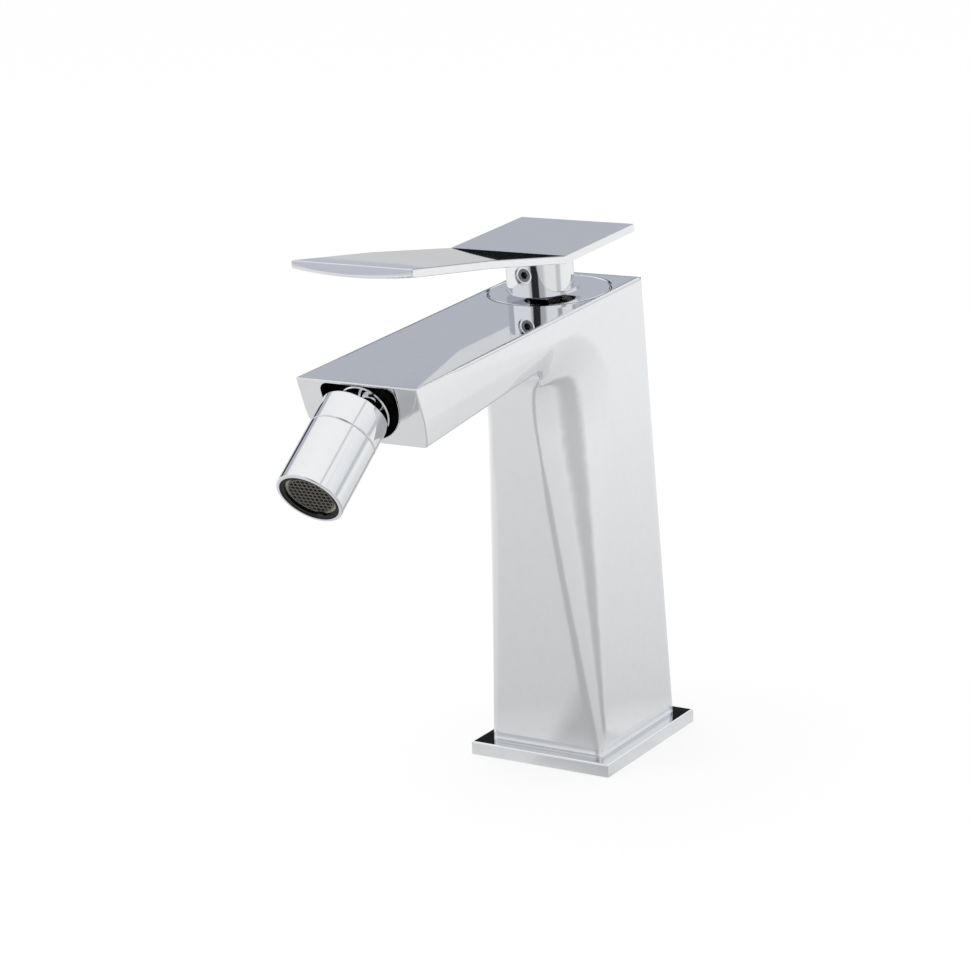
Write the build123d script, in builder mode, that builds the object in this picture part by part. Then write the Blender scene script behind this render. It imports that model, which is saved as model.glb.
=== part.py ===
from build123d import *
from math import acos, atan2, cos, hypot, radians, sin, sqrt, tan
import os

# Single-lever bidet mixer. Millimetres. The origin is the centre of the underside of the
# base plate, +Z is up, and the spout points along -Y.

# Base plate and its gasket
base_width = 60.0
base_depth = 70.0
base_height = 5.0
base_edge_radius = 0.9
base_corner_radius = 0.6
gasket_width = 54.0
gasket_depth = 64.0
gasket_band = 4.0
gasket_thickness = 2.0

# Body: an upright column that carries a flat-topped spout
body_width = 48.0
spout_reach = 146.2
tip_height = 172.2
top_slope = 3.45
nose_face_slope = 21.2
nose_face_drop = 22.1
underside_slope = 6.1
rear_top_offset = 10.7
rear_foot_offset = 29.0
front_foot_setback = 29.2
front_lean = 7.2
inner_corner_radius = 10.0
body_edge_radius = 0.4
front_edge_radius = 2.0
foot_spigot_radius = 17.0
foot_spigot_gap = 0.1

# Twisted bevel: the outer edge runs on the side face, the inner edge on the underside and front
side_edge_nose_drop = 12.4
side_edge_slope = 5.9
side_edge_foot_setback = 27.2
side_edge_lean = 7.35
side_edge_radius = 34.0
bevel_nose_setback = 9.2
bevel_nose_inset = 1.7
bevel_neck_drop = 35.2
bevel_neck_inset = 14.4
bevel_corner_inset_shares = (0.403, 0.439, 0.478, 0.5375, 0.625, 0.7465, 0.854, 0.917)
bevel_corner_turn_shares = (0, 0.159, 0.316, 0.474, 0.631, 0.789, 0.924, 1)
bevel_foot_inset = 0.9
bevel_bow = 1.3
spout_crease_share = 0.9
corner_crease_shares = (0.9, 0.89, 0.83, 0.74, 0.6, 0.425, 0.28, 0.2)
column_crease_share = 0.14
bevel_arc_overrun = 3.0
bevel_turn_limit = 8.0
cutter_overrun = 3.0
cutter_half_width = 40.0
spout_station_shares = (1.043, 0.95, 0.8, 0.62, 0.44, 0.27, 0.12)
column_station_shares = (1, 0.93, 0.84, 0.73, 0.6, 0.46, 0.32, 0.18, 0.07, -0.023)

# Nozzle pocket in the nose face, measured down the face from its top edge
pocket_radius = 14.9
pocket_centre_drop = 7.5
pocket_roof_drop = 0.9
pocket_roof_corner = 3.4
pocket_depth = 8.0
nipple_drop = 11.4

# Cartridge chamber, cap and retaining nut, measured along the cap axis
chamber_offset = -16.4
chamber_radius = 18.0
chamber_depth = 45.0
cap_radius = 22.5
cap_gap = 0.1
cap_thickness = 3.0
cap_hole_radius = 9.4
cap_edge = 0.3
nut_radius = 19.6
nut_depth = 3.6
nut_height = 9.0
nut_hole_radius = 13.3
nut_slot_width = 4.0
nut_slot_depth = 2.5
thread_gap = 0.1

# Waterways and fixing holes
hose_radius = 4.6
hose_depth = 14.0
hose_half_pitch = 8.6
hose_offset = -6.0
stud_radius = 3.4
stud_depth = 22.0
inlet_radius = 2.8
inlet_half_pitch = 8.0
inlet_offset = -6.5
outlet_radius = 3.2
outlet_offset = 5.5
outlet_depth = 14.0
passage_width = 5.2
passage_height = 10.0
passage_drop = 3.0
riser_offset = -40.2
spout_bore_rear_drop = 10.2

# Cartridge
cartridge_base_radius = 17.8
cartridge_base_height = 8.6
cartridge_base_step = 2.0
cartridge_base_gap = 0.05
seal_width = 1.1
seal_height = 1.2
fixed_disc_radius = 15.2
disc_height = 4.0
disc_gap = 0.05
moving_disc_radius = 12.2
mixing_half_width = 9.0
mixing_front = 6.9
mixing_rear = 8.0
mixing_corner = 3.0
mixing_depth = 2.0
carrier_height = 6.0
carrier_pocket_depth = 4.3
housing_shoulder = 2.2
housing_cavity_radius = 15.6
housing_neck_radius = 13.0
housing_neck_height = 8.0
guide_radius = 11.0
guide_flange_radius = 14.0
guide_flange_height = 2.6
guide_top_depth = 3.9
guide_slot_length = 13.6
guide_gap = 0.06
carrier_gap = 0.1
pivot_depth = 11.7
spindle_width = 8.0
spindle_lean = 16.0
spindle_rise = 24.5
spindle_heel = 4.0
spindle_arm = 11.0
spindle_ball_radius = 3.4
spindle_arm_radius = 2.4
spindle_side_gap = 0.1
spindle_ball_gap = 0.15
spindle_edge = 0.6
pin_radius = 1.5
pin_length = 17.0
pin_gap = 0.03

# Lever
lever_width = 48.0
lever_thickness = 2.8
lever_crown = 1.6
lever_crown_shares = (1, 0.55, 0.1)
lever_rear_y = 5.9
lever_rear_rise = 30.1
lever_crease_y = -44.9
lever_crease_rise = 26.9
lever_middle_y = -95.9
lever_middle_rise = 34.1
lever_nose_y = -144.9
lever_nose_rise = 39.75
lever_edge_radius = 0.35
lever_underside_radius = 1.1
hub_radius = 12.5
hub_offset = -5.9
hub_flange_radius = 13.7
hub_flange_offset = -4.2
hub_flange_height = 1.4
hub_gap = 1.6
hub_relief_angle = 23.0
hub_relief_start = 0.6
screw_radius = 2.5
screw_rise = 9.6
screw_tip = 11.2
screw_hex = 2.5
screw_hex_depth = 2.6
screw_point = 1.0
screw_recess = 1.2
screw_counterbore_radius = 3.5

# Swivel nozzle, measured along its axis from the ball centre towards the outlet
nozzle_dip = 37.15
nozzle_radius = 12.0
ball_radius = 8.4
ball_gap = 0.05
ball_standoff = 11.28
outlet_distance = 29.1
collar_back = 7.4
collar_front = 3.6
collar_mouth_radius = 7.2
collar_thread_start = 0.6
thread_radius = 10.4
liner_radius = 9.2
liner_back = 5.0
liner_front = 0.5
seat_clearance = 0.1
seal_seat_radius = 9.2
ball_seal_start = 3.4
ball_seal_end = 6.2
throat_radius = 7.0
ball_seal_bore_radius = 6.0
nozzle_edge_radius = 0.5
nipple_radius = 9.8
rim_recess = 0.2
nipple_flange_height = 1.6
nipple_flange_edge = 0.4
nipple_hex = 15.0
washer_radius = 7.6
washer_height = 1.0
nipple_neck_radius = 3.6
nipple_bore_radius = 2.4
shank_radius = 5.0
shank_length = 6.0
shank_hole_length = 7.0
aerator_radius = 10.7
aerator_gap = 0.05
aerator_length = 8.6
aerator_recess = 0.5
aerator_ring_radius = 9.35
aerator_seal_height = 1.6
aerator_seal_radius = 8.2
insert_inner_radius = 8.3
insert_length = 7.4
mesh_setback = 0.7
mesh_height = 1.0
mesh_pitch = 1.75
mesh_bar = 0.45
mesh_rim = 0.5
key_tab_width = 2.4
key_tab_height = 0.9

# Directions and planes worked out from the sizes above
half_width = body_width / 2
top_share = tan(radians(top_slope))
underside_share = tan(radians(underside_slope))
side_edge_share = tan(radians(side_edge_slope))
front_share = tan(radians(front_lean))
column_edge_share = tan(radians(side_edge_lean))
spout_way = (0, cos(radians(top_slope)), sin(radians(top_slope)))
cap_up = (0, -sin(radians(top_slope)), cos(radians(top_slope)))
face_down = (0, sin(radians(nose_face_slope)), -cos(radians(nose_face_slope)))
face_out = (0, -cos(radians(nose_face_slope)), -sin(radians(nose_face_slope)))
nozzle_way = (0, -cos(radians(nozzle_dip)), -sin(radians(nozzle_dip)))


def top_height(y):
    """Height of the spout's top face at a position along Y."""
    return tip_height + (y + spout_reach) * top_share


def meet(p, d, q, e):
    """Point where the line through p along d meets the line through q along e, in Y and Z."""
    det = d[0] * e[1] - d[1] * e[0]
    t = ((q[0] - p[0]) * e[1] - (q[1] - p[1]) * e[0]) / det
    return (p[0] + d[0] * t, p[1] + d[1] * t)


def unit(v):
    """Direction of length one."""
    return (v[0] / hypot(*v), v[1] / hypot(*v))


def corner_arc(p, d, q, e, radius):
    """Centre and both touching points of an arc that rounds the corner of two lines."""
    corner = meet(p, d, q, e)
    first_way = unit(d)
    last_way = unit(e)
    half = acos(first_way[0] * last_way[0] + first_way[1] * last_way[1]) / 2
    run = radius / tan(half)
    middle = unit((first_way[0] + last_way[0], first_way[1] + last_way[1]))
    centre = (corner[0] + middle[0] * radius / sin(half), corner[1] + middle[1] * radius / sin(half))
    first = (corner[0] + first_way[0] * run, corner[1] + first_way[1] * run)
    last = (corner[0] + last_way[0] * run, corner[1] + last_way[1] * run)
    return centre, first, last


def along(origin, *moves):
    """Point reached from origin by adding direction and distance pairs."""
    point = Vector(*origin)
    for way, distance in moves:
        point += Vector(*way) * distance
    return point


face_width_share = tan(radians(nose_face_slope))
nose_top = (-spout_reach, tip_height)
nose_foot = (-spout_reach + nose_face_drop * face_width_share, tip_height - nose_face_drop)
front_foot = (-front_foot_setback, base_height)
rear_foot = (rear_foot_offset, base_height)
rear_top = (rear_top_offset, top_height(rear_top_offset))

# Directions that point away from each corner, first to the nose and then to the foot
inner_centre, inner_start, inner_end = corner_arc(
    nose_foot, (-1, -underside_share), front_foot, (front_share, -1), inner_corner_radius
)
side_nose = (-spout_reach, tip_height - side_edge_nose_drop)
side_foot = (-side_edge_foot_setback, base_height)
side_centre, side_start, side_end = corner_arc(
    side_nose, (-1, -side_edge_share), side_foot, (-column_edge_share, -1), side_edge_radius
)
underside_normal = unit((-underside_share, 1))
front_normal = unit((1, front_share))
middle_normal = unit((underside_normal[0] + front_normal[0], underside_normal[1] + front_normal[1]))
inner_middle = (
    inner_centre[0] + middle_normal[0] * inner_corner_radius,
    inner_centre[1] + middle_normal[1] * inner_corner_radius,
)

cap_plane = Plane(origin=(0, chamber_offset, top_height(chamber_offset)), x_dir=(1, 0, 0), z_dir=cap_up)
chamber_floor = cap_plane.offset(-chamber_depth)
face_plane = Plane(origin=(0, *nose_top), x_dir=(1, 0, 0), z_dir=face_out)
nipple_root = along((0, *nose_top), (face_down, nipple_drop))
nipple_plane = Plane(origin=nipple_root, x_dir=(1, 0, 0), z_dir=face_out)
ball_centre = along(nipple_root, (face_out, ball_standoff))
nozzle_plane = Plane(origin=ball_centre, x_dir=(1, 0, 0), z_dir=nozzle_way)
pocket_floor_depth = pocket_depth * cos(radians(nose_face_slope - top_slope))
pocket_floor = nipple_plane.offset(-pocket_floor_depth)
pivot_plane = cap_plane.offset(-pivot_depth)
spindle_angle = radians(top_slope + spindle_lean)
spindle_plane = Plane(
    origin=pivot_plane.origin, x_dir=(1, 0, 0), z_dir=(0, -sin(spindle_angle), cos(spindle_angle))
)


def reach_to_side_edge(origin, way):
    """Distance from origin along way to the outer edge of the bevel, in Y and Z."""
    offset = (origin[0] - side_centre[0], origin[1] - side_centre[1])
    run = offset[0] * way[0] + offset[1] * way[1]
    root = run**2 - offset[0] ** 2 - offset[1] ** 2 + side_edge_radius**2
    if root > 0:
        reach = sqrt(root) - run
        if side_start[0] < origin[0] + way[0] * reach and side_end[1] < origin[1] + way[1] * reach:
            return reach
    line = (side_nose, (1, side_edge_share)) if way[1] > way[0] else (side_foot, (column_edge_share, 1))
    hit = meet(origin, way, *line)
    return (hit[0] - origin[0]) * way[0] + (hit[1] - origin[1]) * way[1]


def bevel_outline(origin, way, inner_reach, inset, crease_share):
    """Corner points of one section: an arc from the outer to the inner edge, run on at both ends."""
    side_reach = reach_to_side_edge(origin, way)
    slant = atan2(inset, side_reach - inner_reach)
    start_angle = slant * crease_share
    end_angle = 2 * slant - start_angle
    arc_radius = hypot(inset, side_reach - inner_reach) / 2 / sin((end_angle - start_angle) / 2)
    centre = (half_width - arc_radius * cos(start_angle), side_reach + arc_radius * sin(start_angle))
    first = start_angle - min(start_angle / 2, bevel_arc_overrun / arc_radius)
    last = end_angle + min(radians(bevel_turn_limit), bevel_arc_overrun / arc_radius)
    handle = arc_radius * 4 / 3 * tan((last - first) / 4)
    outer = (centre[0] + arc_radius * cos(first), centre[1] - arc_radius * sin(first))
    inner = (centre[0] + arc_radius * cos(last), centre[1] - arc_radius * sin(last))
    return (
        (outer[0] + cutter_overrun * sin(first), outer[1] + cutter_overrun * cos(first)),
        outer,
        (outer[0] - handle * sin(first), outer[1] - handle * cos(first)),
        (inner[0] + handle * sin(last), inner[1] + handle * cos(last)),
        inner,
        (inner[0] - cutter_overrun * sin(last), inner[1] - cutter_overrun * cos(last)),
    )


# Stations of the bevel: (origin, direction into the body, reach of the inner edge, inset, crease)
bevel_stations = []
bevel_corner_inset = bevel_neck_inset * bevel_corner_inset_shares[0]
bevel_nose_y = bevel_nose_setback - spout_reach
bevel_growth_share = (bevel_corner_inset - bevel_nose_inset) / (inner_start[0] - bevel_nose_y)
for station_share in spout_station_shares:
    y = inner_start[0] - (spout_reach + inner_start[0]) * station_share
    foot = (y, nose_foot[1] + (y - nose_foot[0]) * underside_share)
    inset = bevel_nose_inset + (y - bevel_nose_y) * bevel_growth_share
    bevel_stations.append((foot, underside_normal, 0, inset, spout_crease_share))
turn_start = atan2(*underside_normal)
turn = atan2(*front_normal) - turn_start
for turn_share, inset_share, crease in zip(
    bevel_corner_turn_shares, bevel_corner_inset_shares, corner_crease_shares
):
    angle = turn_start + turn * turn_share
    inset = bevel_neck_inset * inset_share
    bevel_stations.append((inner_centre, (sin(angle), cos(angle)), inner_corner_radius, inset, crease))
neck_rise = tip_height - bevel_neck_drop - base_height
for station_share in column_station_shares:
    rise = neck_rise * station_share
    foot = (front_foot[0] - rise * front_share, base_height + rise)
    share = max(station_share, 0)
    inset = bevel_foot_inset + (bevel_neck_inset - bevel_foot_inset) * share
    inset += bevel_bow * 4 * share * (1 - share)
    bevel_stations.append((foot, front_normal, 0, inset, column_crease_share))

# Levels along the cap axis
disc_seat = chamber_floor.offset(cartridge_base_height)
slide_plane = disc_seat.offset(disc_height + disc_gap)
carrier_plane = slide_plane.offset(disc_height)
shoulder_plane = cap_plane.offset(-nut_depth - nut_height)
housing_height = chamber_depth - cartridge_base_height + cartridge_base_step - nut_depth - nut_height
flange_plane = shoulder_plane.offset(-housing_shoulder - guide_gap)
guide_foot = carrier_plane.offset(carrier_height + carrier_gap)
guide_height = chamber_depth - cartridge_base_height - 2 * disc_height - disc_gap - carrier_height
guide_height -= carrier_gap + guide_top_depth
pin_plane = Plane(origin=pivot_plane.origin, x_dir=(0, 1, 0), z_dir=(1, 0, 0))
port_places = [(-inlet_half_pitch, inlet_offset), (inlet_half_pitch, inlet_offset), (0, outlet_offset)]
disc_rest = spindle_arm * sin(radians(spindle_lean))

# Waterways
well = chamber_floor.from_local_coords((0, outlet_offset, 0))
well_y = well.Y
riser_foot = well.Z - passage_drop - passage_height
shank_end = pocket_floor.offset(-shank_length).origin
riser_top = tip_height - spout_bore_rear_drop
spout_bore_run = Vector(0, riser_offset, riser_top) - shank_end
spout_bore_plane = Plane(origin=shank_end, x_dir=(1, 0, 0), z_dir=spout_bore_run)
spout_bore_length = spout_bore_run.length
inlet_planes = {}
for side in (-1, 1):
    hose_end = Vector(side * hose_half_pitch, hose_offset, hose_depth)
    port = chamber_floor.from_local_coords((side * inlet_half_pitch, inlet_offset, 0))
    inlet_planes[side] = Plane(origin=hose_end, x_dir=(0, 1, 0), z_dir=port - hose_end)
    inlet_length = (port - hose_end).length

# Lever outline: the top run from the rear to the nose, then the underside back again
lever_rear = (lever_rear_y, tip_height + lever_rear_rise)
lever_crease = (lever_crease_y, tip_height + lever_crease_rise)
lever_middle = (lever_middle_y, tip_height + lever_middle_rise)
lever_nose = (lever_nose_y, tip_height + lever_nose_rise)
lever_top = (lever_rear, lever_crease, lever_middle, lever_nose)


def lever_underside():
    """Points below the top run at the plate's thickness, from the nose back to the rear."""
    ways = [unit((b[0] - a[0], b[1] - a[1])) for a, b in zip(lever_top, lever_top[1:])]
    lowered = [
        ((a[0] - w[1] * lever_thickness, a[1] + w[0] * lever_thickness), w) for a, w in zip(lever_top, ways)
    ]
    square = (-ways[0][1], ways[0][0])
    points = [meet(lever_rear, square, *lowered[0])]
    points += [meet(*first, *last) for first, last in zip(lowered, lowered[1:])]
    last_way = ways[-1]
    nose_drop = (-last_way[1] * lever_thickness, last_way[0] * lever_thickness)
    points.append((lever_nose[0] + nose_drop[0], lever_nose[1] + nose_drop[1]))
    return points[::-1]


lever_outline = list(lever_top) + lever_underside()

# Stations of the crown under the lever's front panel: (point on the underside, way to the rear, rise)
crown_points = lever_underside()[:len(lever_crown_shares)]
crown_ways = [unit((b[0] - a[0], b[1] - a[1])) for a, b in zip(crown_points, crown_points[1:])]
crown_stations = list(zip(crown_points, crown_ways + crown_ways[-1:], lever_crown_shares))
hub_top = meet((chamber_offset, top_height(chamber_offset)), (cap_up[1], cap_up[2]), lever_rear,
               (lever_crease[0] - lever_rear[0], lever_crease[1] - lever_rear[1]))
hub_height = (cap_plane.to_local_coords(Vector(0, *hub_top)).Z) - hub_gap - lever_thickness / 2
hub_relief_slope = radians(top_slope + hub_relief_angle)
hub_relief_plane = Plane(
    origin=cap_plane.from_local_coords((0, hub_relief_start, hub_gap)),
    x_dir=(1, 0, 0),
    z_dir=(0, -sin(hub_relief_slope), cos(hub_relief_slope)),
)
screw_plane = Plane(
    origin=cap_plane.from_local_coords((0, -screw_tip, screw_rise)),
    x_dir=(1, 0, 0),
    z_dir=-Vector(*spout_way),
)
screw_length = hub_radius - hub_offset - screw_recess - screw_tip

# Levels along the nipple and along the nozzle
flange_seat = nipple_plane.offset(-rim_recess)
neck_length = ball_standoff - rim_recess
hex_length = pocket_floor_depth - washer_height - rim_recess
nipple_length = shank_length + pocket_floor_depth + ball_standoff + ball_radius
outlet_plane = nozzle_plane.offset(outlet_distance)
aerator_bore_depth = aerator_recess + aerator_length + aerator_seal_height
aerator_top = outlet_plane.offset(-aerator_recess - aerator_length)
mesh_plane = outlet_plane.offset(-mesh_setback - aerator_recess)
mesh_radius = insert_inner_radius - aerator_gap
mesh_count = 2 * int(mesh_radius / mesh_pitch) + 1

# Tool that shapes both twisted bevels
with BuildPart() as bevel_cutter:
    for origin, way, inner_reach, inset, crease in bevel_stations:
        start, outer, outer_handle, inner_handle, inner, end = bevel_outline(
            origin, way, inner_reach, inset, crease
        )
        side_way = Vector(1, 0, 0).cross(Vector(0, *way))
        with BuildSketch(Plane(origin=(0, *origin), x_dir=(1, 0, 0), z_dir=side_way)):
            with BuildLine():
                Line(start, outer)
                Bezier(outer, outer_handle, inner_handle, inner)
                Polyline(inner, end, (cutter_half_width, end[1]), (cutter_half_width, start[1]), start)
            make_face()
    loft()
    mirror(about=Plane.YZ)

# Body casting
with BuildPart() as body_casting:
    with BuildSketch(Plane.YZ):
        with BuildLine():
            Polyline(nose_foot, nose_top, rear_top, rear_foot, front_foot, inner_end)
            ThreePointArc(inner_end, inner_middle, inner_start)
            Line(inner_start, nose_foot)
        make_face()
    extrude(amount=half_width, both=True)
    add(bevel_cutter.part, mode=Mode.SUBTRACT)
    front_limit = half_width - bevel_neck_inset / 2
    fillet(
        edges().filter_by(GeomType.BSPLINE).filter_by(lambda e: abs(e.center().X) < front_limit),
        front_edge_radius,
    )
    nose_limit = nose_foot[0] + body_edge_radius
    top_limit = tip_height - body_edge_radius
    nose_edges = edges().filter_by(lambda e: e.center().Y < nose_limit)
    straight_edges = edges().filter_by(GeomType.LINE).filter_by(lambda e: e.center().Y >= nose_limit)
    rim_edges = straight_edges.filter_by(lambda e: e.center().Z > top_limit)
    rear_edges = straight_edges.filter_by(
        lambda e: base_height < e.center().Z <= top_limit and e.center().Y > rear_top_offset
    )
    fillet(nose_edges + rim_edges + rear_edges, body_edge_radius)
    # Spigot through the base plate
    with BuildSketch():
        Circle(foot_spigot_radius)
    extrude(amount=base_height)
    # Cap recess, nut thread and cartridge chamber
    with BuildSketch(cap_plane):
        Circle(cap_radius + cap_gap)
    extrude(amount=-cap_thickness, mode=Mode.SUBTRACT)
    with BuildSketch(cap_plane):
        Circle(nut_radius + thread_gap)
    extrude(amount=-nut_depth - nut_height, mode=Mode.SUBTRACT)
    with BuildSketch(cap_plane):
        Circle(chamber_radius)
    extrude(amount=-chamber_depth, mode=Mode.SUBTRACT)
    # Nozzle pocket, cut along the spout so that its roof keeps an even thickness
    with BuildSketch(face_plane):
        with Locations((0, -pocket_centre_drop)):
            Circle(pocket_radius)
        with Locations((0, -(pocket_centre_drop + pocket_roof_drop) / 2)):
            Rectangle(2 * pocket_radius, pocket_centre_drop - pocket_roof_drop)
        with Locations((0, -pocket_roof_drop)):
            Rectangle(2 * pocket_radius, pocket_radius, align=(Align.CENTER, Align.MIN), mode=Mode.SUBTRACT)
        fillet(vertices().group_by(Axis.Y)[-1], pocket_roof_corner)
    extrude(amount=pocket_depth, dir=spout_way, mode=Mode.SUBTRACT)
    with BuildSketch(pocket_floor):
        Circle(shank_radius + thread_gap)
    extrude(amount=-shank_hole_length, mode=Mode.SUBTRACT)
    # Spout bore and riser
    with BuildSketch(spout_bore_plane):
        Circle(outlet_radius)
    extrude(amount=spout_bore_length, mode=Mode.SUBTRACT)
    with BuildSketch(Plane.XY.offset(riser_foot)):
        with Locations((0, riser_offset)):
            Circle(outlet_radius)
    extrude(amount=riser_top - riser_foot, mode=Mode.SUBTRACT)
    # Outlet well below the chamber and the passage that leads forward to the riser
    with BuildSketch(chamber_floor):
        with Locations((0, outlet_offset)):
            Circle(outlet_radius)
    extrude(amount=-outlet_depth, mode=Mode.SUBTRACT)
    with BuildSketch(Plane.XZ.offset(-well_y)):
        with Locations((0, riser_foot)):
            Rectangle(passage_width, passage_height, align=(Align.CENTER, Align.MIN))
    extrude(amount=well_y - riser_offset, mode=Mode.SUBTRACT)
    # Inlet bores between the hose threads and the chamber floor
    for side in (-1, 1):
        with BuildSketch(inlet_planes[side]):
            Circle(inlet_radius)
        extrude(amount=inlet_length, mode=Mode.SUBTRACT)
    with BuildSketch():
        with Locations((-hose_half_pitch, hose_offset), (hose_half_pitch, hose_offset)):
            Circle(hose_radius)
    extrude(amount=hose_depth, mode=Mode.SUBTRACT)
    with BuildSketch():
        Circle(stud_radius)
    extrude(amount=stud_depth, mode=Mode.SUBTRACT)

# Base plate
with BuildPart() as base_plate:
    with BuildSketch():
        RectangleRounded(base_width, base_depth, base_corner_radius)
    extrude(amount=base_height)
    fillet(faces().sort_by(Axis.Z)[-1].edges(), base_edge_radius)
    with BuildSketch():
        Circle(foot_spigot_radius + foot_spigot_gap)
    extrude(amount=base_height, mode=Mode.SUBTRACT)
    with BuildSketch():
        Rectangle(gasket_width, gasket_depth)
        Rectangle(gasket_width - 2 * gasket_band, gasket_depth - 2 * gasket_band, mode=Mode.SUBTRACT)
    extrude(amount=gasket_thickness, mode=Mode.SUBTRACT)

# Gasket in the underside of the base plate
with BuildPart() as base_gasket:
    with BuildSketch():
        Rectangle(gasket_width, gasket_depth)
        Rectangle(gasket_width - 2 * gasket_band, gasket_depth - 2 * gasket_band, mode=Mode.SUBTRACT)
    extrude(amount=gasket_thickness)

# Cartridge base with three ports
with BuildPart() as cartridge_base:
    with BuildSketch(chamber_floor):
        Circle(cartridge_base_radius)
    extrude(amount=cartridge_base_height - cartridge_base_step)
    with BuildSketch(chamber_floor):
        Circle(housing_cavity_radius - cartridge_base_gap)
    extrude(amount=cartridge_base_height)
    with BuildSketch(chamber_floor):
        with Locations(*port_places):
            Circle(outlet_radius)
    extrude(amount=cartridge_base_height, mode=Mode.SUBTRACT)
    with BuildSketch(chamber_floor):
        with Locations(*port_places):
            Circle(outlet_radius + seal_width)
    extrude(amount=seal_height, mode=Mode.SUBTRACT)
    with BuildSketch(disc_seat):
        with Locations(*port_places):
            Circle(outlet_radius + seal_width)
    extrude(amount=-seal_height, mode=Mode.SUBTRACT)

# Ring seals between the chamber floor and the cartridge base
with BuildPart() as port_seals:
    with BuildSketch(chamber_floor):
        with Locations(*port_places):
            Circle(outlet_radius + seal_width)
            Circle(outlet_radius, mode=Mode.SUBTRACT)
    extrude(amount=seal_height)

# Ring seals between the cartridge base and the fixed disc
with BuildPart() as disc_seals:
    with BuildSketch(disc_seat.offset(-seal_height)):
        with Locations(*port_places):
            Circle(outlet_radius + seal_width)
            Circle(outlet_radius, mode=Mode.SUBTRACT)
    extrude(amount=seal_height)

# Fixed ceramic disc
with BuildPart() as fixed_disc:
    with BuildSketch(disc_seat):
        Circle(fixed_disc_radius)
        with Locations(*port_places):
            Circle(inlet_radius, mode=Mode.SUBTRACT)
    extrude(amount=disc_height)

# Moving ceramic disc with the mixing pocket in its underside
with BuildPart() as moving_disc:
    with BuildSketch(slide_plane):
        with Locations((0, disc_rest)):
            Circle(moving_disc_radius)
    extrude(amount=disc_height)
    with BuildSketch(slide_plane):
        with Locations((0, disc_rest + (mixing_rear - mixing_front) / 2)):
            RectangleRounded(2 * mixing_half_width, mixing_front + mixing_rear, mixing_corner)
    extrude(amount=mixing_depth, mode=Mode.SUBTRACT)

# Carrier that the spindle's ball pushes
with BuildPart() as disc_carrier:
    with BuildSketch(carrier_plane):
        with Locations((0, disc_rest)):
            Circle(moving_disc_radius)
    extrude(amount=carrier_height)
    with BuildSketch(carrier_plane.offset(carrier_height)):
        with Locations((0, disc_rest)):
            Circle(spindle_ball_radius + spindle_ball_gap)
    extrude(amount=-carrier_pocket_depth, mode=Mode.SUBTRACT)

# Housing that closes the cartridge and carries the turning guide
with BuildPart() as cartridge_housing:
    with BuildSketch(chamber_floor.offset(cartridge_base_height - cartridge_base_step)):
        Circle(cartridge_base_radius)
    extrude(amount=housing_height)
    with BuildSketch(shoulder_plane):
        Circle(housing_neck_radius)
    extrude(amount=housing_neck_height)
    with BuildSketch(chamber_floor.offset(cartridge_base_height - cartridge_base_step)):
        Circle(housing_cavity_radius)
    extrude(amount=housing_height - housing_shoulder, mode=Mode.SUBTRACT)
    with BuildSketch(shoulder_plane.offset(housing_neck_height)):
        Circle(guide_radius + guide_gap)
    extrude(amount=-housing_neck_height - housing_shoulder, mode=Mode.SUBTRACT)

# Guide that turns in the housing and holds the spindle's pivot pin
with BuildPart() as spindle_guide:
    with BuildSketch(guide_foot):
        Circle(guide_radius)
    extrude(amount=guide_height)
    with BuildSketch(flange_plane):
        Circle(guide_flange_radius)
    extrude(amount=-guide_flange_height)
    with BuildSketch(guide_foot):
        Rectangle(spindle_width + 2 * spindle_side_gap, guide_slot_length)
    extrude(amount=guide_height, mode=Mode.SUBTRACT)
    with BuildSketch(pin_plane):
        Circle(pin_radius)
    extrude(amount=guide_radius, both=True, mode=Mode.SUBTRACT)

# Pivot pin
with BuildPart() as spindle_pin:
    with BuildSketch(pin_plane):
        Circle(pin_radius)
    extrude(amount=pin_length / 2, both=True)

# Spindle: square shank above the pin, arm with a ball below it
with BuildPart() as cartridge_spindle:
    with BuildSketch(spindle_plane.offset(-spindle_heel)):
        Rectangle(spindle_width, spindle_width)
    extrude(amount=spindle_heel + spindle_rise)
    chamfer(faces().sort_by(Axis.Z)[-1].edges(), spindle_edge)
    with BuildSketch(spindle_plane):
        Circle(spindle_arm_radius)
    extrude(amount=-spindle_arm)
    with Locations(spindle_plane.offset(-spindle_arm).location):
        Sphere(spindle_ball_radius)
    with BuildSketch(pin_plane):
        Circle(pin_radius + pin_gap)
    extrude(amount=spindle_width, both=True, mode=Mode.SUBTRACT)

# Nut that presses the cartridge down
with BuildPart() as retaining_nut:
    with BuildSketch(shoulder_plane):
        Circle(nut_radius)
        Circle(nut_hole_radius, mode=Mode.SUBTRACT)
    extrude(amount=nut_height)
    with BuildSketch(shoulder_plane.offset(nut_height)):
        Rectangle(2 * nut_radius, nut_slot_width)
        Rectangle(nut_slot_width, 2 * nut_radius)
    extrude(amount=-nut_slot_depth, mode=Mode.SUBTRACT)

# Flush cap ring
with BuildPart() as cap_ring:
    with BuildSketch(cap_plane.offset(-cap_thickness)):
        Circle(cap_radius)
        Circle(cap_hole_radius, mode=Mode.SUBTRACT)
    extrude(amount=cap_thickness)
    chamfer(faces().sort_by(Axis.Z)[-1].edges(), cap_edge)

# Crown that thickens the lever's front panel along its middle
with BuildPart() as lever_crown_form:
    for point, way, crown_share in crown_stations:
        with BuildSketch(Plane(origin=(0, *point), x_dir=(1, 0, 0), z_dir=(0, *way))):
            with BuildLine():
                ThreePointArc((-lever_width / 2, 0), (0, lever_crown * crown_share), (lever_width / 2, 0))
                Line((lever_width / 2, 0), (-lever_width / 2, 0))
            make_face()
    loft(ruled=True)

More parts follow.
